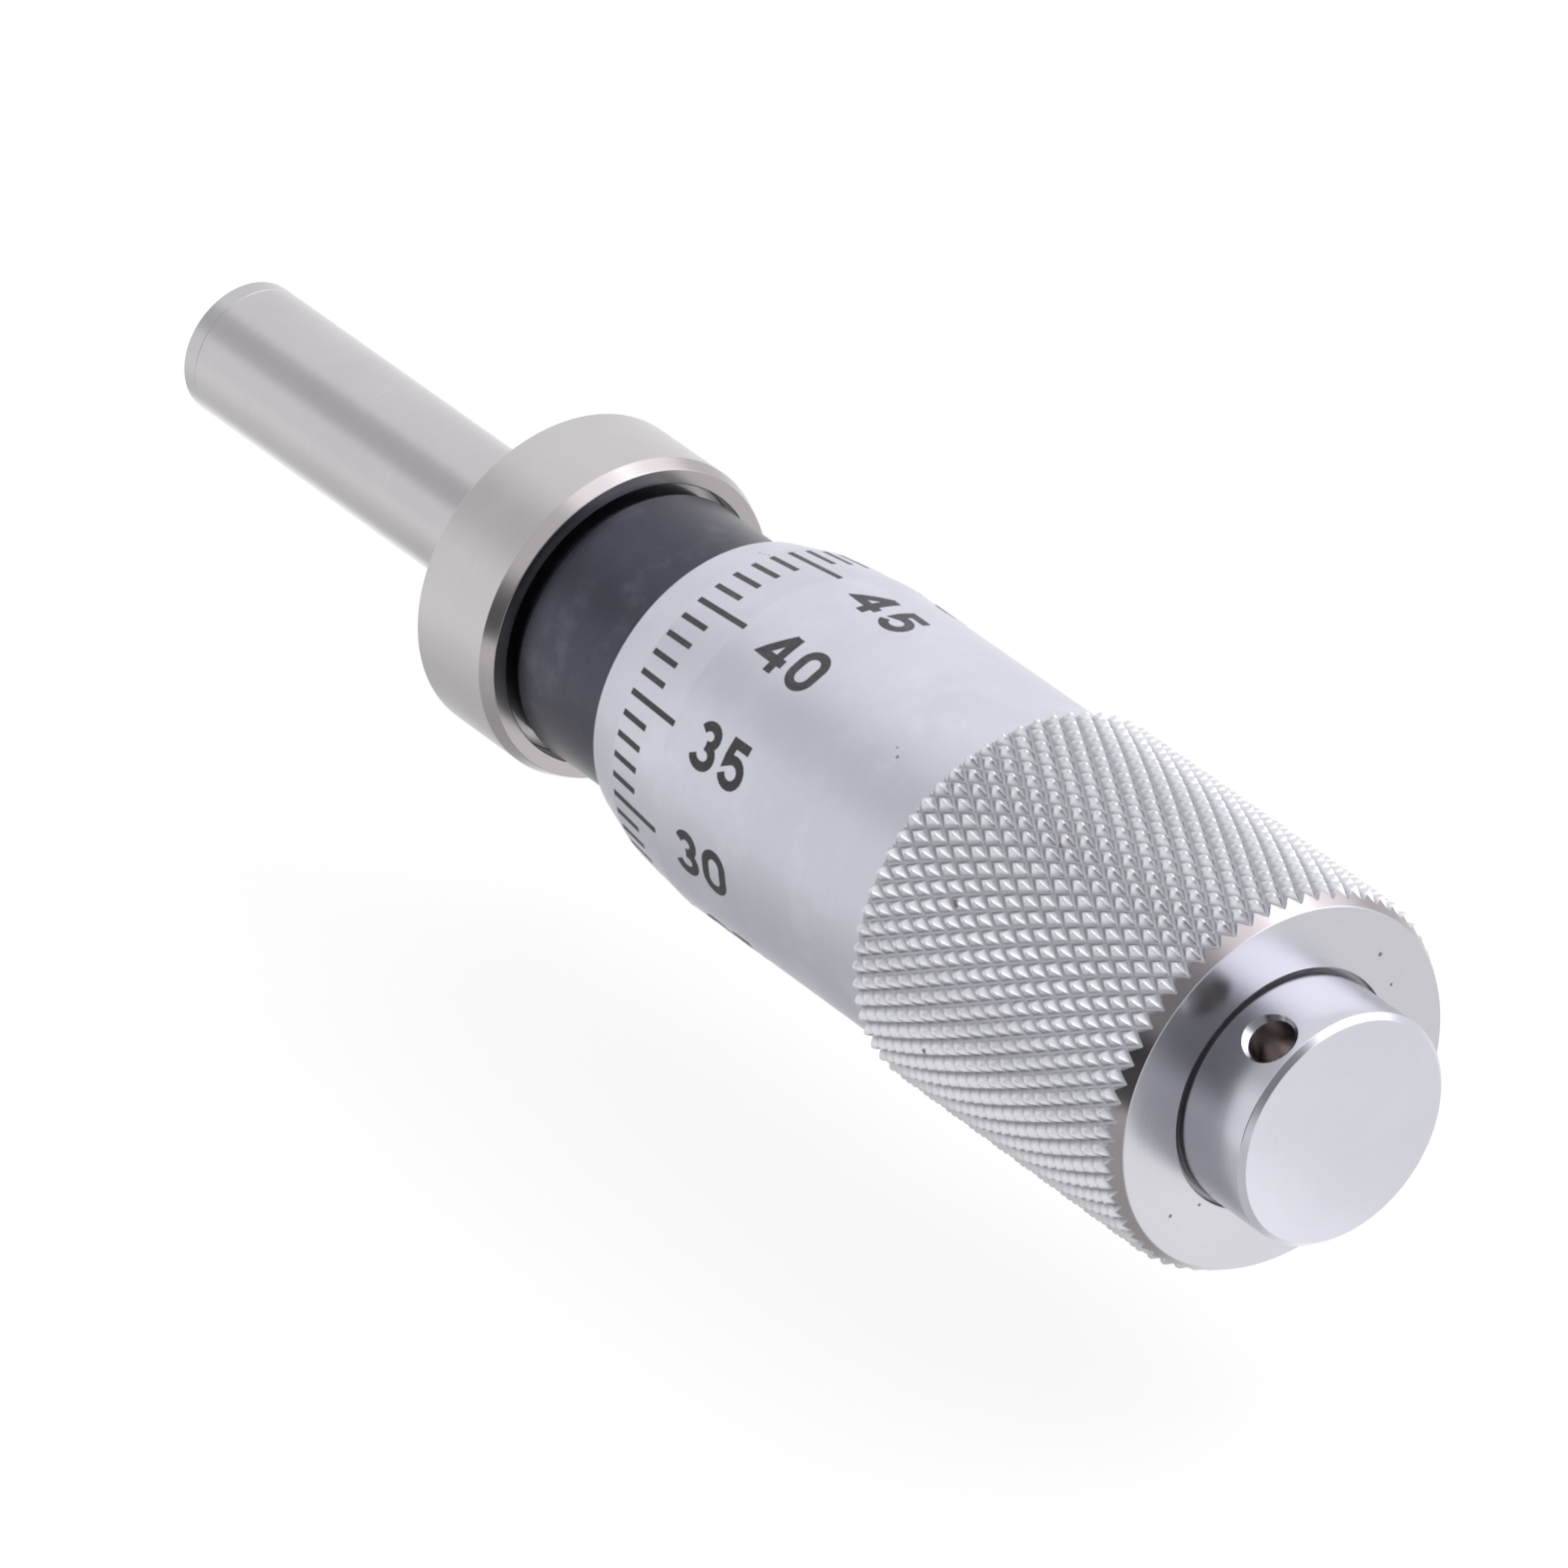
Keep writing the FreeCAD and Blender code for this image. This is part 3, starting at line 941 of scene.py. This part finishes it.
def make_thimble():
    """Thimble body and knurled ring as one mesh, with a finish for each zone."""
    pieces = []
    for mesh, is_ring in ((make_thimble_body(), False), (make_knurled_ring(), True)):
        zones = [thimble_zone(face, is_ring) for face in mesh.polygons]
        mesh.materials.clear()
        for material in thimble_finishes:
            mesh.materials.append(material)
        mesh.polygons.foreach_set("material_index", zones)
        pieces.append(bpy.data.objects.new(mesh.name, mesh))
        bpy.context.collection.objects.link(pieces[-1])
    piece = pieces[0]
    with bpy.context.temp_override(active_object=piece, selected_editable_objects=pieces):
        bpy.ops.object.join()
    mesh = piece.data
    bpy.data.objects.remove(piece)
    return mesh


# Graduations and numbers

def surface_radius(x):
    """Radius of the thimble's outside at a distance along the axis."""
    if x < break_x:
        share = (x - thimble_edge_x) / edge_bevel_length
        return thimble_edge_radius + share * (thimble_break_radius - thimble_edge_radius)
    share = min(1, (x - break_x) / scale_bevel_length)
    return thimble_break_radius + share * (thimble_radius - thimble_break_radius)


def line_shape(stations, width, radius_at):
    """Painted line along the axis at angle 0, on a turned surface."""
    verts = []
    for x in stations:
        radius = radius_at(x) + paint_lift
        half = math.degrees(width / 2 / radius)
        verts += [place(x, -half, radius), place(x, half, radius)]
    faces = [[2 * i, 2 * i + 2, 2 * i + 3, 2 * i + 1] for i in range(len(stations) - 1)]
    mesh = bpy.data.meshes.new("line")
    mesh.from_pydata(verts, [], faces)
    return mesh


def arc(cu, cv, ru, rv, start, end, steps=14):
    """Points of an elliptic arc, in degrees, from start to end."""
    angles = [math.radians(start + (end - start) * i / steps) for i in range(steps + 1)]
    return [(cu + ru * math.cos(a), cv + rv * math.sin(a)) for a in angles]


def digit_strokes(digit, w, h):
    """Centre lines of a plain digit in a box of width w and height h."""
    r = w / 2
    if digit == "0":
        return [arc(r, h - r, r, r, 180, 0) + arc(r, r, r, r, 0, -180) + [(0, h - r)]]
    if digit == "1":
        return [[(0.18 * w, 0.74 * h), (0.66 * w, h), (0.66 * w, 0)]]
    if digit == "2":
        return [arc(r, h - r, r, r, 170, -35) + [(0, 0), (w, 0)]]
    if digit == "3":
        upper = arc(r, 0.755 * h, 0.86 * r, 0.245 * h, 160, -90)
        lower = arc(r, 0.265 * h, r, 0.265 * h, 90, -165)
        return [upper, lower]
    if digit == "4":
        upright = [(0.78 * w, -0.1 * h), (0.78 * w, 1.08 * h)]
        angled = [(0.75 * w, 1.04 * h), (0.03 * w, 0.27 * h), (1.12 * w, 0.27 * h)]
        return [upright, angled]
    bowl = arc(r, 0.31 * h, r, 0.31 * h, 125, -160)
    return [[(0.96 * w, h), (0.14 * w, h), (0.08 * w, 0.5 * h)] + bowl]


def in_short_steps(path):
    """Path with its long runs divided, so that a stroke follows the round surface under it."""
    points = [Vector(path[0])]
    for corner in path[1:]:
        run = Vector(corner) - points[-1]
        start = points[-1]
        steps = max(1, math.ceil(run.length / stroke_step))
        points += [start + run * i / steps for i in range(1, steps + 1)]
    return points


def stroke_outline(path, width):
    """Left and right edge of a stroke along a path, with mitred corners."""
    points = in_short_steps(path)
    runs = [(end - start).normalized() for start, end in zip(points, points[1:])]
    closed = (points[0] - points[-1]).length < 1e-6
    befores = [runs[-1] if closed else runs[0]] + runs
    afters = runs + [runs[0] if closed else runs[-1]]
    left, right = [], []
    for point, before, after in zip(points, befores, afters):
        way = (before + after).normalized()
        side = Vector((-way.y, way.x)) * width / 2 / max(mitre_limit, way.dot(after))
        left.append(point + side)
        right.append(point - side)
    return left, right


def number_mesh(text, x, angle, radius, width, height, gap, stroke):
    """Digits painted on a cylinder, which read along X."""
    verts, faces = [], []
    inner_height = height - stroke
    digit_start = 0
    for digit in text:
        wide = width * (wide_digit_share if digit == "4" else 1)
        for path in digit_strokes(digit, wide - stroke, inner_height):
            left, right = stroke_outline(path, stroke)
            base = len(verts)
            for a, b in zip(left, right):
                for point in (a, b):
                    u = digit_start + stroke / 2 + point.x
                    v = math.degrees((point.y - inner_height / 2) / radius)
                    verts.append(place(x + u, angle + v, radius + paint_lift))
            for i in range(len(left) - 1):
                k = base + 2 * i
                faces.append([k, k + 1, k + 3, k + 2])
        digit_start += wide + gap
    mesh = bpy.data.meshes.new("number_" + text)
    mesh.from_pydata(verts, [], faces)
    return mesh


def joined(name, meshes):
    """One mesh from several."""
    work = bmesh.new()
    for mesh in meshes:
        work.from_mesh(mesh)
        bpy.data.meshes.remove(mesh)
    result = bpy.data.meshes.new(name)
    work.to_mesh(result)
    work.free()
    return result


def make_thimble_scale():
    """Fifty graduations and the numbers 0 to 45 on the thimble."""
    zero_angle = zero_line_angle - thimble_reading * division_angle
    short_start = thimble_edge_x + short_line_start
    short_end = thimble_edge_x + short_line_end
    long_end = thimble_edge_x + long_line_end
    short = line_shape([short_start, short_end], line_width, surface_radius)
    rest = line_shape([short_end, smooth_x, long_end], line_width, surface_radius)
    parts = [
        in_rows("short_lines", short, scale_paint, 1, divisions, 0, 0, zero_angle, division_angle, 0),
        in_rows("long_lines", rest, scale_paint, 1, divisions // 5, 0, 0, zero_angle, 5 * division_angle, 0),
    ]
    for number in range(0, divisions, 5):
        parts.append(number_mesh(
            str(number), thimble_edge_x + number_start, zero_angle + number * division_angle, thimble_radius,
            number_width, number_height, number_gap, number_stroke))
    return joined("thimble_scale", parts)


def on_sleeve(x):
    """Radius of the sleeve's outside, which is the same all along."""
    return sleeve_radius


def tick_shape(length, way):
    """Painted mark around the sleeve, from the index line at angle 0."""
    radius = sleeve_radius + paint_lift
    half = sleeve_line_width / 2
    steps = 4
    verts = []
    for i in range(steps + 1):
        angle = way * math.degrees(length * i / steps / radius)
        verts += [place(-half, angle, radius), place(half, angle, radius)]
    faces = [[2 * i, 2 * i + 1, 2 * i + 3, 2 * i + 2][::way] for i in range(steps)]
    mesh = bpy.data.meshes.new("tick")
    mesh.from_pydata(verts, [], faces)
    return mesh


def make_sleeve_scale():
    """Index line, millimetre and half millimetre marks, and the numbers 0 to 25 on the sleeve."""
    angle = zero_line_angle
    whole = int(screw_range)
    line_ends = [zero_edge_x - sleeve_datum_reach, zero_edge_x + whole + sleeve_datum_reach]
    index = line_shape(line_ends, sleeve_line_width, on_sleeve)
    parts = [in_rows("index_line", index, sleeve_paint, 1, 1, 0, 0, angle, 0, 0)]
    marks = [
        (1.0, 0.0, sleeve_mark_length, whole + 1, 1),
        (5.0, 0.0, sleeve_long_mark_length, whole // 5 + 1, 1),
        (1.0, 0.5, sleeve_mark_length, whole, -1),
    ]
    for step, offset, length, count, way in marks:
        tick = tick_shape(length, way)
        parts.append(in_rows("marks", tick, sleeve_paint, count, 1, zero_edge_x + offset, step, angle, 0, 0))
    number_angle = angle + math.degrees(sleeve_number_offset / sleeve_radius)
    for number in range(0, whole + 1, 5):
        text = str(number)
        width = len(text) * sleeve_number_width + (len(text) - 1) * sleeve_number_gap
        parts.append(number_mesh(
            text, zero_edge_x + number - width / 2, number_angle, sleeve_radius,
            sleeve_number_width, sleeve_number_height, sleeve_number_gap, sleeve_number_stroke))
    return joined("sleeve_scale", parts)


around_tree = rows_tree()
add_piece(
    "mounting_collar_turned", make_collar(), [collar_steel, collar_edge_steel],
    "fixed_stem", "collar_steel", "mounting_collar")
add_piece(
    "graduated_sleeve_turned", make_graduated_sleeve(), [sleeve_dark, stem_steel],
    "sleeve", "sleeve_dark", "graduated_sleeve")
add_piece("sleeve_scale", make_sleeve_scale(), [sleeve_paint], "sleeve", "sleeve_dark")
add_piece("measuring_tip_lapped", make_measuring_tip(), [tip_carbide], "tip", "tip_carbide", "measuring_tip")
add_piece("spindle_ground", make_spindle(), [spindle_steel], "screw", "spindle_steel", "spindle")
add_piece("thimble_knurled", make_thimble(), thimble_finishes, "screw", "thimble_chrome", "thimble")
add_piece("thimble_scale", make_thimble_scale(), [scale_paint], "screw", "thimble_chrome")
add_piece(
    "setting_cap_drilled", make_setting_cap(), [cap_chrome, hole_steel],
    "screw", "cap_chrome", "setting_cap")
for node, finish in (("stem", stem_steel), ("adjusting_nut", nut_steel)):
    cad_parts[node].data.materials.clear()
    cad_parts[node].data.materials.append(finish)


# Studio

def make_floor():
    """White floor that glows, so that it is as bright as the background and still takes a shadow."""
    mesh = bpy.data.meshes.new("floor")
    w, z = floor_half_width * MM, floor_height * MM
    mesh.from_pydata([(-w, -w, z), (w, -w, z), (w, w, z), (-w, w, z)], [], [[0, 1, 2, 3]])
    floor = bpy.data.objects.new("floor", mesh)
    bpy.context.collection.objects.link(floor)
    material = bpy.data.materials.new("floor_white")
    material.use_nodes = True
    graph = Graph(material.node_tree)
    rays = graph.add("ShaderNodeLightPath")
    seen = graph.math("MAXIMUM", rays["Is Camera Ray"], rays["Is Glossy Ray"])
    seen = graph.math("MAXIMUM", seen, rays["Is Transmission Ray"])
    matt = graph.add("ShaderNodeBsdfDiffuse", None, {"Color": (floor_white, floor_white, floor_white, 1)})
    parts = graph.add("ShaderNodeSeparateXYZ", None, {0: graph.add("ShaderNodeTexCoord")["Object"]})
    x = parts["X"] / MM
    y = parts["Y"] / MM
    beside_end = graph.smooth_step(0 - y - x * floor_side_skew, *floor_side_ends)
    beside = graph.smooth_step(0 - y, *floor_side_starts) * (1 - beside_end)
    under = graph.smooth_step(y, *floor_under_starts) * (1 - graph.smooth_step(y, *floor_under_ends))
    # Glossy rays alone see the painted shadow beside the head and the painted light under it.
    shade = 1 + rays["Is Glossy Ray"] * (floor_under_rise * under - floor_side_dip * beside)
    glow = graph.add("ShaderNodeEmission", None, {"Color": (1, 1, 1, 1), "Strength": floor_glow * shade})
    none = graph.add("ShaderNodeEmission", None, {"Strength": 0.0})
    added = graph.add("ShaderNodeMixShader", None, {0: seen, 1: none, 2: glow})
    both = graph.add("ShaderNodeAddShader", None, {0: matt, 1: added})
    graph.add("ShaderNodeOutputMaterial", None, {"Surface": both})
    mesh.materials.append(material)


def make_world():
    """White room with soft darker places, which metal needs to show its form."""
    world = bpy.data.worlds.new("studio")
    bpy.context.scene.world = world
    world.use_nodes = True
    graph = Graph(world.node_tree)
    way = graph.add("ShaderNodeTexCoord")["Generated"]
    level = None
    for direction, near, far, change in room_places:
        aim = tuple(Vector(direction).normalized())
        facing = graph.add("ShaderNodeVectorMath", {"operation": "DOT_PRODUCT"}, {0: way, 1: aim})["Value"]
        far_cosine = math.cos(math.radians(far))
        near_cosine = math.cos(math.radians(near))
        spot = graph.smooth_step(facing, far_cosine, near_cosine) * change
        level = spot + room_level if level is None else level + spot
    rays = graph.add("ShaderNodeLightPath")
    strength = level + rays["Is Camera Ray"] * (1 - level)
    room = graph.add("ShaderNodeBackground", None, {"Color": room_colour, "Strength": strength})
    graph.add("ShaderNodeOutputWorld", None, {"Surface": room})


def add_lamp(name, place_mm, aim_mm, width, height, watts, colour):
    """Softbox that the camera doesn't see."""
    light = bpy.data.lights.new(name, "AREA")
    light.shape = "RECTANGLE"
    light.size = width * MM
    light.size_y = height * MM
    light.energy = watts
    light.color = colour
    lamp = bpy.data.objects.new(name, light)
    bpy.context.collection.objects.link(lamp)
    spot = Vector(place_mm) * MM
    aim = Vector(aim_mm) * MM
    lamp.matrix_world = Matrix.Translation(spot) @ (aim - spot).to_track_quat("-Z", "Y").to_matrix().to_4x4()
    lamp.visible_camera = False


def add_camera():
    """Camera as fitted to the photo."""
    data = bpy.data.cameras.new("camera")
    data.sensor_width = sensor_width
    data.sensor_fit = "HORIZONTAL"
    data.lens = camera_focal_pixels / image_pixels * sensor_width
    data.clip_start = 0.01
    data.clip_end = 20
    camera = bpy.data.objects.new("camera", data)
    bpy.context.collection.objects.link(camera)
    right = Vector(camera_right).normalized()
    up = Vector(camera_up).normalized()
    back = right.cross(up)
    turn = Matrix((right, up, back)).transposed().to_4x4()
    camera.matrix_world = Matrix.Translation(Vector(camera_place) * MM) @ turn
    bpy.context.scene.camera = camera


make_floor()
make_world()
for lamp in lamps:
    add_lamp(*lamp)
add_camera()
bpy.context.scene.view_settings.view_transform = "Standard"
